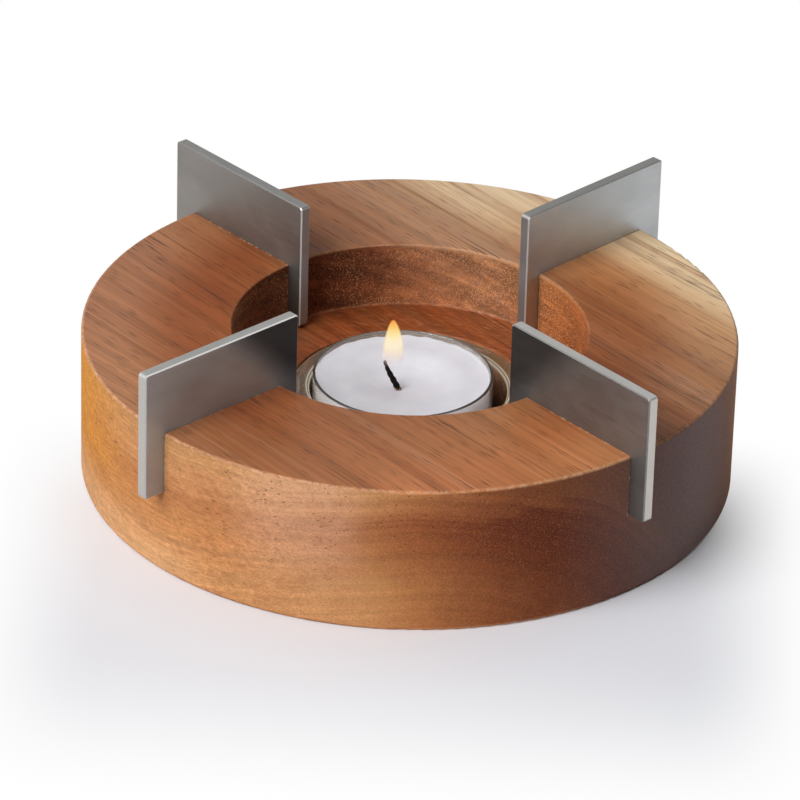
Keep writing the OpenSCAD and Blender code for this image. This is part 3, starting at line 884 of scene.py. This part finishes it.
# Glass cup and the tealight's clear cup
glassSettings = {
    "outerRadius": 25.0,  # mm
    "boreRadius": 21.2,
    "foot": 4.03,
    "base": 2.45,
    "height": 14.6,
    "rimRound": 0.9,
    "footRound": 2.0,
    "fillet": 1.2,
    "wobble": 0.05,
    "wobbleCount": 3.0,  # waves round the cup
    "wobbleTurn": 0.7,  # radians
    "middle": (0.0, 0.0),
    "colours": [  # from foot to rim: painted shade and the brown of the wood seen through, darkest at the foot, pale at the rim
        (0.0, tone(124, 103, 82)), (0.72, tone(166, 145, 121)),
        (0.93, tone(236, 227, 208)), (1.0, tone(240, 232, 214)),
    ],
    "paintedGlow": tone(148, 140, 125),  # painted glow on the rim's edges, standing in for their highlights
    "inside": tone(62, 42, 27),  # and a little of it between them
    "lines": (24.8, 21.9, 21.35),  # mm from the middle, where the painted glow lines lie
    "tint": tone(255, 190, 122),  # painted: the wood behind, seen through the glass, colours one side
    "tintWay": (1.0, 0.0, 0.0),
    "tintSpan": (4.0, 20.0, 0.0, 0.6),  # mm along that way, and how much
    "clearness": 0.92,
    "index": 1.5,
    "roughness": (0.0, 1.0, 0.02, 0.08),  # by how many marks of hands there are
    "rippleDepth": 0.00003,  # metres
}
cupSettings = {
    "outerRadius": 19.35,  # mm
    "wall": 0.6,
    "foot": 6.53,
    "height": 15.35,
    "rimRound": 0.28,
    "footRound": 1.2,
    "middle": (-1.2, 0.0),
    # painted: a dark line along the rim
    "colours": [
        (0.0, tone(240, 238, 234)), (0.972, tone(240, 238, 234)),
        (0.984, tone(112, 110, 112)), (1.0, tone(96, 94, 96)),
    ],
    "paintedGlow": black,
    "inside": black,
    "lines": (19.2,),
    "tint": tone(228, 226, 222),  # painted light: the rim is paler at the back
    "tintWay": (0.0, 1.0, 0.0),
    "tintSpan": (0.0, 13.0, 0.0, 0.6),
    "clearness": 0.9,
    "index": 1.45,
    "roughness": (0.0, 1.0, 0.04, 0.1),
    "rippleDepth": 0.00001,  # metres
}
clearSettings = {  # what the two cups share
    "axisGap": 0.5,  # mm left open in a section at its axis, where a fan of faces closes it
    "segments": 160,
    "ripples": {"fineness": (0.14, 0.14, 0.3), "detail": 1.0},
    "rimSpan": (-0.9, -0.3),  # mm from the rim's top
    "lineSpan": (0.26, 0.08),  # mm from a shining edge
    "shadowAlpha": (0.0, 1.0, 1.0, 0.15),  # clear, so a pale shadow
}


def makeClear(name, settings, shared):
    material, tree, shader = newMaterial(name)
    place = placeInMillimetres(tree)
    foot = settings["foot"]
    rim = foot + settings["height"]
    height = separate(tree, place)[2]
    # painted light and shade by height, and a painted tint on one side near the rim
    colour = ramp(tree, remap(tree, height, foot, rim, curve="LINEAR"), settings["colours"])
    fromMiddle = vectorWork(tree, "SUBTRACT", place, (*settings["middle"], 0.0))
    side = vectorWork(tree, "DOT_PRODUCT", fromMiddle, settings["tintWay"])
    nearRim = remap(tree, height, *near(rim, shared["rimSpan"]))
    tinted = multiply(tree, remap(tree, side, *settings["tintSpan"]), nearRim)
    tree.links.new(mixColours(tree, tinted, colour, settings["tint"]), shader.inputs["Base Color"])
    radius = flatLength(tree, fromMiddle)
    edges = 0.0
    for edge in settings["lines"]:
        away = calculate(tree, "ABSOLUTE", calculate(tree, "SUBTRACT", radius, edge))
        edges = calculate(tree, "MAXIMUM", remap(tree, away, *shared["lineSpan"]), edges)
    # a painted glow along the rim's edges, standing in for their highlights
    paintedGlow = mixColours(tree, edges, settings["inside"], settings["paintedGlow"])
    tree.links.new(mixColours(tree, nearRim, black, paintedGlow), shader.inputs["Emission Color"])
    shader.inputs["Emission Strength"].default_value = 1.0
    shader.inputs["Transmission Weight"].default_value = settings["clearness"]
    shader.inputs["IOR"].default_value = settings["index"]
    marks = useGroup(tree, handMarks, {"Place": place})["Marks"]
    tree.links.new(remap(tree, marks, *settings["roughness"]), shader.inputs["Roughness"])
    shadowRay = addNode(tree, "ShaderNodeLightPath").outputs["Is Shadow Ray"]
    tree.links.new(remap(tree, shadowRay, *shared["shadowAlpha"]), shader.inputs["Alpha"])
    bump(tree, shader, figure(tree, place, shared["ripples"]), settings["rippleDepth"])
    return material


def makeGlassCup(settings, shared):
    # a thick pressed cup: its section turned round the ring's axis, the radius swelling in slow waves
    outer, bore, axis = settings["outerRadius"], settings["boreRadius"], shared["axisGap"]
    base, height = settings["base"], settings["height"]
    corners = [(axis, 0.0), (outer, 0.0), (outer, height), (bore, height), (bore, base), (axis, base)]
    radii = (settings["footRound"], settings["rimRound"], settings["rimRound"], settings["fillet"])
    middle = (*settings["middle"], settings["foot"])
    rings = turnedRings(roundedProfile(corners, radii), shared["segments"], middle)
    turn = np.arctan2(rings[..., 1], rings[..., 0])
    wave = 0.5 + 0.5 * np.sin(settings["wobbleCount"] * turn + settings["wobbleTurn"])
    swell = 1.0 - settings["wobble"] / outer * wave
    rings[..., :2] *= swell[..., None]
    return addPiece("glassCup", *loftFaces(rings))


def makeCandleCup(settings, shared):
    # a thin moulded cup: its section turned round the tealight's own axis
    outer, wall, axis = settings["outerRadius"], settings["wall"], shared["axisGap"]
    bore, height = outer - wall, settings["height"]
    corners = [(axis, 0.0), (outer, 0.0), (outer, height), (bore, height), (bore, wall), (axis, wall)]
    radii = (settings["footRound"], settings["rimRound"], settings["rimRound"], settings["footRound"] - wall)
    middle = (*settings["middle"], settings["foot"])
    rings = turnedRings(roundedProfile(corners, radii), shared["segments"], middle)
    return addPiece("candleCup", *loftFaces(rings))


glassCup = makeGlassCup(glassSettings, clearSettings)
dress(glassCup, makeClear("clearGlass", glassSettings, clearSettings))
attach(glassCup, "glass")
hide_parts("glass_cup")
candleCup = makeCandleCup(cupSettings, clearSettings)
dress(candleCup, makeClear("clearPlastic", cupSettings, clearSettings))
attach(candleCup, "tealight")
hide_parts("candle_cup")
print("glass finished")


# Tealight: wax, wick and flame, about the candle cup's foot
candleFoot = np.array((*cupSettings["middle"], cupSettings["foot"]))
waxSettings = {
    "radius": 18.7,  # mm
    "top": 14.35,
    "bottom": 0.63,
    "dishRadius": 13.5,
    "dishDepth": 1.5,
    "wickMouth": (-0.8, -3.0),
    "holeRadius": 0.8,
    "holeSteps": (2.0, 1.4, 0.7, 0.12),  # mm below the dish
    "edgeGap": 0.8,  # how far the ragged edge draws back from the cup
    "edgeWaves": ((7.0, 0.4, 0.18), (17.0, 2.0, 0.17), (31.0, 1.1, 0.15)),  # count, turn and depth
    "smoothShare": 0.12,  # what is left of them at the front, where the wax is smooth
    "ripple": 0.008,
    "rippleCount": 2.6,  # radians for each mm
    "ripplePlace": 6.0,
    "rippleWidth": 3.0,
    "creep": 0.25,  # how far the wax climbs the cup
    "creepNarrowness": 24.0,
    "creepLoss": 0.6,  # where the edge draws back
    "shoulder": 0.9,
    "sideTop": 12.0,
    "discRadius": 6.6,  # the hollow for the disc underneath
    "discFlare": 0.1,
    "discDepth": 0.45,
    "axisGap": 0.5,
    "footRounds": (0.6, 0.05, 0.05),
    "footSpacing": 1.5,
    "segments": 224,
    "dishRows": 90,
    "shoulderRows": 7,
    "clear": tone(224, 222, 229),
    "cloudy": tone(230, 228, 234),
    "mottle": {"fineness": (0.22, 0.22, 0.22), "detail": 5.0, "roughness": 0.6},
    "mottleSpan": (0.3, 0.7),
    "paintedGlow": tone(132, 129, 132),  # painted glow: the flame's light that comes out at the sides
    "glowLevel": (0.5, 0.2),  # by how level a face is
    "roughness": (0.3, 0.7, 0.32, 0.46),
    "scatter": 0.35,
    "scatterRadius": (0.003, 0.003, 0.003),  # metres
    "pits": {"fineness": (1.6, 1.6, 1.6), "detail": 3.0},
    "pitDepth": 0.00003,  # metres
    "pitStrength": 0.4,
}


def makeWaxPiece(settings):
    # rings run from the wick's hole out over the melted dish to the cup's wall, down the side and in under
    # the foot; over the dish each ring slides from the hole's circle to the wall's, its height a smooth bowl
    turn = fullTurn(settings["segments"])
    circle = np.stack([np.cos(turn), np.sin(turn)], axis=-1)
    ragged = 0.5 + sum(depth * np.sin(count * turn + start) for count, start, depth in settings["edgeWaves"])
    smooth = settings["smoothShare"]
    ragged *= smooth + (1.0 - smooth) * np.clip(np.sin(turn), 0.0, 1.0) ** 2
    drawnBack = settings["edgeGap"] * ragged
    hole = np.array(settings["wickMouth"]) + settings["holeRadius"] * circle
    edge = (settings["radius"] - drawnBack)[:, None] * circle
    share = np.linspace(0.0, 1.0, settings["dishRows"])[:, None, None]
    flat = (1.0 - share) * hole + share * edge
    away = np.linalg.norm(flat, axis=-1)
    bowl = np.clip(1.0 - (away / settings["dishRadius"]) ** 2, 0.0, 1.0) ** 2
    rippled = np.exp(-((away - settings["ripplePlace"]) / settings["rippleWidth"]) ** 2)
    ripple = settings["ripple"] * np.sin(away * settings["rippleCount"]) * rippled
    creep = settings["creep"] * np.exp(-(1.0 - share[..., 0]) * settings["creepNarrowness"])
    creep = creep * (1.0 - settings["creepLoss"] * ragged)
    height = settings["top"] - settings["dishDepth"] * bowl + ripple + creep
    surface = np.concatenate([flat, height[..., None]], axis=-1)
    sink = np.array(settings["holeSteps"])[:, None]
    hollow = np.repeat(hole[None], len(sink), axis=0)
    holeWall = np.concatenate([hollow, (height[0] - sink)[..., None]], axis=-1)
    drop = np.linspace(0.0, 1.0, settings["shoulderRows"])[1:, None]
    bend = np.sqrt(1.0 - drop ** 2)
    shoulderRadius = settings["radius"] - drawnBack * bend
    shoulderHeight = height[-1] - settings["shoulder"] * (1.0 - bend)
    shoulder = np.concatenate([shoulderRadius[..., None] * circle, shoulderHeight[..., None]], axis=-1)
    bottom, disc = settings["bottom"], settings["discRadius"]
    under = roundedProfile(
        [(settings["radius"], settings["sideTop"]), (settings["radius"], bottom),
         (disc + settings["discFlare"], bottom), (disc, bottom + settings["discDepth"]),
         (settings["axisGap"], bottom + settings["discDepth"])],
        settings["footRounds"], spacing=settings["footSpacing"],
    )
    foot = turnedRings(under, settings["segments"], (0.0, 0.0, 0.0))
    rings = np.concatenate([holeWall, surface, shoulder, foot]) + candleFoot
    return addPiece("waxBody", *loftFaces(rings))


def makeWax(settings):
    material, tree, shader = newMaterial("candleWax")
    place = placeInMillimetres(tree)
    mottle = figure(tree, place, settings["mottle"])
    cloudiness = remap(tree, mottle, *settings["mottleSpan"])
    shade = mixColours(tree, cloudiness, settings["clear"], settings["cloudy"])
    tree.links.new(shade, shader.inputs["Base Color"])
    level = reachAlong(tree, faceNormal(tree), zAxis)
    # a painted glow on the wax's upright sides
    paintedGlow = mixColours(tree, remap(tree, level, *settings["glowLevel"]), black, settings["paintedGlow"])
    tree.links.new(paintedGlow, shader.inputs["Emission Color"])
    shader.inputs["Emission Strength"].default_value = 1.0
    tree.links.new(remap(tree, mottle, *settings["roughness"]), shader.inputs["Roughness"])
    shader.inputs["Subsurface Weight"].default_value = settings["scatter"]
    shader.inputs["Subsurface Radius"].default_value = settings["scatterRadius"]
    shader.inputs["Subsurface Scale"].default_value = 1.0
    bump(tree, shader, figure(tree, place, settings["pits"]), settings["pitDepth"], settings["pitStrength"])
    return material


waxPiece = makeWaxPiece(waxSettings)
dress(waxPiece, makeWax(waxSettings))
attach(waxPiece, "tealight")
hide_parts("wax")

wickSettings = {
    "radius": 0.7,  # mm
    "tipRadius": 0.3,
    "foot": (0.0, 0.0, 1.1),
    "neck": (0.0, 0.0, 4.6),
    "mouth": (-0.8, -3.0, 12.9),
    "tip": (-3.1, 0.0, 6.8),  # from the mouth
    "startPull": (1.0 / 3.0, 1.0 / 3.0, 1.0 / 3.0),  # of the tip's place, the bend's two inner points
    "endPull": (5.0 / 6.0, 0.0, 2.0 / 3.0),
    "sideways": (0.0, 1.0, 0.0),  # square to the bend
    "straightRows": 40,
    "bendRows": 140,
    "segments": 48,
    "braidPitch": 1.5,
    "strandBase": 0.84,  # of the radius
    "strandSwell": 0.14,
    "burntLength": 7.0,
    "taper": 2.2,
    "slowLump": 0.035,
    "slowLumpCount": 2.3,  # radians for each mm
    "slowLumpTurn": 1.0,
    "fastLump": 0.028,
    "fastLumpCount": 5.1,
    "char": tone(17, 11, 11),
    "ash": tone(42, 33, 33),
    "cotton": tone(176, 138, 104),
    "ember": tone(70, 50, 46),
    "ashFigure": {"fineness": (2.4, 2.4, 2.4), "detail": 4.0, "roughness": 0.65},
    "ashSpan": (0.5, 0.78),
    "unevenness": (0.3, 0.7, -0.5, 0.5),  # mm up or down
    "cottonSpan": (0.5, 0.15),  # mm above the mouth
    "emberSpan": (-1.5, -0.4, 0.0, 0.8),  # mm from the tip, and how much
    "roughness": (0.2, 0.8, 0.75, 0.95),
    "gloss": 0.15,
    "ashDepth": 0.00015,  # metres
    "ashStrength": 0.8,
}


def makeWickPiece(settings):
    # a tube along the CAD wick's path: straight up the neck and through the wax, then a cubic bend; its
    # radius swells where either of two opposite twists of strands comes to the surface, and the tip is thin
    foot, neck, mouth, tip = (np.array(settings[key]) for key in ("foot", "neck", "mouth", "tip"))
    rise = np.linspace(0.0, 1.0, settings["straightRows"])[:, None]
    bend = np.linspace(0.0, 1.0, settings["bendRows"])[:, None]
    startPoint, endPoint = (tip * np.array(settings[key]) for key in ("startPull", "endPull"))
    rest = 1.0 - bend
    cubic = 3.0 * bend * rest ** 2 * startPoint + 3.0 * bend ** 2 * rest * endPoint + bend ** 3 * tip
    path = np.concatenate([foot + rise * (neck - foot), neck + rise[1:] * (mouth - neck), mouth + cubic[1:]])
    way = np.gradient(path, axis=0)
    way /= np.linalg.norm(way, axis=1, keepdims=True)
    side = np.cross(np.array(settings["sideways"]), way)
    side /= np.linalg.norm(side, axis=1, keepdims=True)
    front = np.cross(way, side)
    run = np.concatenate([[0.0], np.cumsum(np.linalg.norm(np.diff(path, axis=0), axis=1))])[:, None]
    turn = fullTurn(settings["segments"])
    twist = 2.0 * np.pi * run / settings["braidPitch"]
    braid = np.maximum(np.cos(2.0 * turn + twist), np.cos(2.0 * turn - twist))
    burnt = np.clip(1.0 - (run[-1] - run) / settings["burntLength"], 0.0, 1.0)
    size = settings["radius"] + (settings["tipRadius"] - settings["radius"]) * burnt ** settings["taper"]
    slowLumps = settings["slowLump"] * np.sin(settings["slowLumpCount"] * run + settings["slowLumpTurn"])
    fastLumps = settings["fastLump"] * np.sin(settings["fastLumpCount"] * run + turn)
    strands = settings["strandBase"] + settings["strandSwell"] * braid
    reach = (size * strands + (slowLumps + fastLumps) * burnt)[..., None]
    around = np.cos(turn)[:, None] * side[:, None] + np.sin(turn)[:, None] * front[:, None]
    rings = path[:, None] + reach * around
    return addPiece("braidedWick", *loftFaces(rings + candleFoot))


def makeChar(settings):
    material, tree, shader = newMaterial("charredCotton")
    place = placeInMillimetres(tree)
    ash = figure(tree, place, settings["ashFigure"])
    colour = mixColours(tree, remap(tree, ash, *settings["ashSpan"]), settings["char"], settings["ash"])
    uneven = calculate(tree, "ADD", separate(tree, place)[2], remap(tree, ash, *settings["unevenness"]))
    mouth = candleFoot[2] + settings["mouth"][2]
    cotton = remap(tree, uneven, *near(mouth, settings["cottonSpan"]))
    colour = mixColours(tree, cotton, colour, settings["cotton"])
    emberStart, emberEnd, *emberDepth = settings["emberSpan"]
    tipHeight = mouth + settings["tip"][2]
    ember = remap(tree, uneven, tipHeight + emberStart, tipHeight + emberEnd, *emberDepth)
    colour = mixColours(tree, ember, colour, settings["ember"])
    tree.links.new(colour, shader.inputs["Base Color"])
    tree.links.new(remap(tree, ash, *settings["roughness"]), shader.inputs["Roughness"])
    shader.inputs["Specular IOR Level"].default_value = settings["gloss"]
    bump(tree, shader, ash, settings["ashDepth"], settings["ashStrength"])
    return material


wickPiece = makeWickPiece(wickSettings)
dress(wickPiece, makeChar(wickSettings))
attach(wickPiece, "tealight")
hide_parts("wick")

flameSettings = {
    "foot": (-3.4, -3.0, 24.2),  # mm
    "tip": (-3.5, -3.0, 36.3),
    "radius": 2.7,
    "lean": 0.08,
    "tipPower": 1.7,  # how late the sides close in
    "tipRoundness": 0.6,
    "footShare": 0.03,  # of the height, over which the foot opens
    "endShares": (0.004, 0.996),  # of the height, where the first and last rows lie
    "rows": 72,
    "segments": 48,
    "shells": (1.0, 0.88, 0.74),  # each as a share of the radius
    "shellAlpha": (0.3, 0.45, 0.75),
    "shellShrink": 0.45,  # how much of that also shortens an inner shell
    "shellLift": 0.12,
    "colours": [
        (0.0, tone(226, 216, 224)), (0.17, tone(230, 216, 219)), (0.3, tone(240, 223, 212)),
        (0.42, tone(251, 234, 208)), (0.54, tone(255, 245, 218)), (0.66, tone(255, 245, 208)),
        (0.76, tone(255, 237, 172)), (0.86, tone(255, 216, 126)), (0.94, tone(255, 190, 100)),
        (1.0, tone(246, 160, 72)),
    ],
    "edgeColours": [
        (0.0, tone(240, 214, 200)), (0.4, tone(250, 226, 198)), (0.6, tone(255, 228, 180)),
        (0.75, tone(253, 206, 124)), (0.9, tone(248, 172, 84)), (1.0, tone(236, 140, 52)),
    ],
    "edgeDepth": (0.9, 0.0),  # from the outer shell to the next
    "risingSpan": (0.12, 0.55),  # of the height, over which the flame comes to its full strength
}


def makeFlamePiece(settings):
    # nested teardrops: almost straight sides that close fast at the foot and round off towards the tip
    foot, tip = np.array(settings["foot"]), np.array(settings["tip"])
    height = np.linspace(*settings["endShares"], settings["rows"])[:, None]
    turn = fullTurn(settings["segments"])
    closing = (1.0 - height ** settings["tipPower"]) ** settings["tipRoundness"]
    outline = settings["radius"] * closing * np.sqrt(1.0 - np.exp(-height / settings["footShare"]))
    lean = np.sin(np.pi * height) * settings["lean"]
    points, faces, shell = [], [], []
    for share, alpha in zip(settings["shells"], settings["shellAlpha"]):
        inner = 1.0 - share
        rise = 0.5 + (height - 0.5) * (1.0 - settings["shellShrink"] * inner) + settings["shellLift"] * inner
        x = foot[0] + (tip[0] - foot[0]) * rise + lean + share * outline * np.cos(turn)
        y = foot[1] + share * outline * np.sin(turn)
        z = np.broadcast_to(foot[2] + (tip[2] - foot[2]) * rise, x.shape)
        shellPoints, shellFaces = loftFaces(np.stack([x, y, z], axis=-1))
        start = sum(map(len, points))
        faces += [[corner + start for corner in face] for face in shellFaces]
        points.append(shellPoints)
        shell.append(np.full(len(shellPoints), alpha))
    piece = addPiece("flame", np.concatenate(points), faces)
    layer = piece.data.attributes.new("shellAlpha", "FLOAT", "POINT")
    layer.data.foreach_set("value", np.concatenate(shell).astype(np.float32))
    return piece


def makeFlame(settings):
    material, tree, shader = newMaterial("candleFlame")
    height = separate(tree, placeInMillimetres(tree))[2]
    share = remap(tree, height, settings["foot"][2], settings["tip"][2], curve="LINEAR")
    layer = addNode(tree, "ShaderNodeAttribute", attribute_name="shellAlpha").outputs["Fac"]
    colour = ramp(tree, share, settings["colours"])
    edge = ramp(tree, share, settings["edgeColours"])
    outermost = remap(tree, layer, *settings["shellAlpha"][:2], *settings["edgeDepth"])
    tree.links.new(mixColours(tree, outermost, colour, edge), shader.inputs["Emission Color"])
    shader.inputs["Base Color"].default_value = black
    shader.inputs["Specular IOR Level"].default_value = 0.0
    shader.inputs["Emission Strength"].default_value = 1.0
    shadowRay = addNode(tree, "ShaderNodeLightPath").outputs["Is Shadow Ray"]
    lit = calculate(tree, "SUBTRACT", 1.0, shadowRay)  # a flame throws no shadow
    rising = remap(tree, share, *settings["risingSpan"])
    tree.links.new(multiply(tree, layer, rising, lit), shader.inputs["Alpha"])
    return material


flamePiece = makeFlamePiece(flameSettings)
dress(flamePiece, makeFlame(flameSettings))
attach(flamePiece, "tealight")
print("tealight finished")


# Floor, light and surroundings
stageSettings = {
    "floor": tone(225, 226, 231),
    "floorHalf": 3.0,  # metres, as all lengths here
    "floorRoughness": 0.6,
    "floorGloss": 0.2,
    "sideFade": (0.058, 0.09, 1.0, 0.0),  # to either side, over which the seen floor turns white
    "frontFade": (0.075, 0.14, 1.0, 0.0),  # the same towards the front
    "backFade": (0.03, -0.02, 1.0, 0.0),  # and towards the back
    "ambient": 0.07,
    # brightness from straight down to straight up
    "sky": [(0.0, 1.0), (0.56, 1.0), (0.68, 0.42), (0.85, 0.4), (1.0, 0.5)],
    "lightTarget": (0.0, 0.0, 0.02),
    "keyPlace": (-1.06, -1.06, 1.12),
    "keySize": 1.4,
    "keyPower": 47.0,
    "topPlace": (-0.1, 0.1, 1.1),
    "topSize": 1.0,
    "topPower": 2.6,
}


def seenRays(tree):
    # rays that show the background: straight from the camera, mirrored in metal or bent through glass
    rays = addNode(tree, "ShaderNodeLightPath").outputs
    mirrored = calculate(tree, "MAXIMUM", rays["Is Glossy Ray"], rays["Is Transmission Ray"])
    return calculate(tree, "MAXIMUM", rays["Is Camera Ray"], mirrored)


def makeFloor(settings):
    half = settings["floorHalf"]
    corners = [(-half, -half, 0.0), (half, -half, 0.0), (half, half, 0.0), (-half, half, 0.0)]
    mesh = bpy.data.meshes.new("floor")
    mesh.from_pydata(corners, [], [(0, 1, 2, 3)])
    floor = bpy.data.objects.new("floor", mesh)
    bpy.context.collection.objects.link(floor)
    material, tree, shader = newMaterial("paleFloor")
    shader.inputs["Base Color"].default_value = settings["floor"]
    shader.inputs["Roughness"].default_value = settings["floorRoughness"]
    shader.inputs["Specular IOR Level"].default_value = settings["floorGloss"]
    right, back = separate(tree, addNode(tree, "ShaderNodeTexCoord").outputs["Object"])[:2]
    front = calculate(tree, "MULTIPLY", back, -1.0)
    nearSides = remap(tree, calculate(tree, "ABSOLUTE", right), *settings["sideFade"])
    nearFront = remap(tree, front, *settings["frontFade"])
    nearBack = remap(tree, front, *settings["backFade"])
    far = calculate(tree, "SUBTRACT", 1.0, multiply(tree, nearSides, nearFront, nearBack))
    glowing = addNode(tree, "ShaderNodeEmission", {"Color": white, "Strength": 1.0})
    inputs = {0: multiply(tree, far, seenRays(tree)), 1: shader.outputs[0], 2: glowing.outputs[0]}
    blend = addNode(tree, "ShaderNodeMixShader", inputs)
    output = next(node for node in tree.nodes if node.type == "OUTPUT_MATERIAL")
    tree.links.new(blend.outputs[0], output.inputs[0])
    dress(floor, material)


def addPanel(name, place, size, power, target):
    data = bpy.data.lights.new(name, "AREA")
    data.shape = "SQUARE"
    data.size = size
    data.energy = power
    panel = bpy.data.objects.new(name, data)
    panel.location = place
    panel.rotation_euler = (Vector(target) - Vector(place)).to_track_quat("-Z", "Y").to_euler()
    bpy.context.collection.objects.link(panel)


def lightStage(settings):
    target = settings["lightTarget"]
    addPanel("keyPanel", settings["keyPlace"], settings["keySize"], settings["keyPower"], target)
    addPanel("topPanel", settings["topPlace"], settings["topSize"], settings["topPower"], target)
    world = bpy.data.worlds.new("surroundings")
    bpy.context.scene.world = world
    world.use_nodes = True
    tree = world.node_tree
    tree.nodes.clear()
    ambient = addNode(tree, "ShaderNodeBackground", {"Color": white, "Strength": settings["ambient"]})
    upward = separate(tree, addNode(tree, "ShaderNodeTexCoord").outputs["Generated"])[2]
    share = remap(tree, upward, -1.0, 1.0, curve="LINEAR")
    greys = [(position, (bright, bright, bright, 1.0)) for position, bright in settings["sky"]]
    seen = addNode(tree, "ShaderNodeBackground", {"Color": ramp(tree, share, greys), "Strength": 1.0})
    inputs = {0: seenRays(tree), 1: ambient.outputs[0], 2: seen.outputs[0]}
    blend = addNode(tree, "ShaderNodeMixShader", inputs)
    output = addNode(tree, "ShaderNodeOutputWorld")
    tree.links.new(blend.outputs[0], output.inputs[0])


makeFloor(stageSettings)
lightStage(stageSettings)
bpy.context.scene.view_settings.view_transform = "Standard"
print("stage lit")
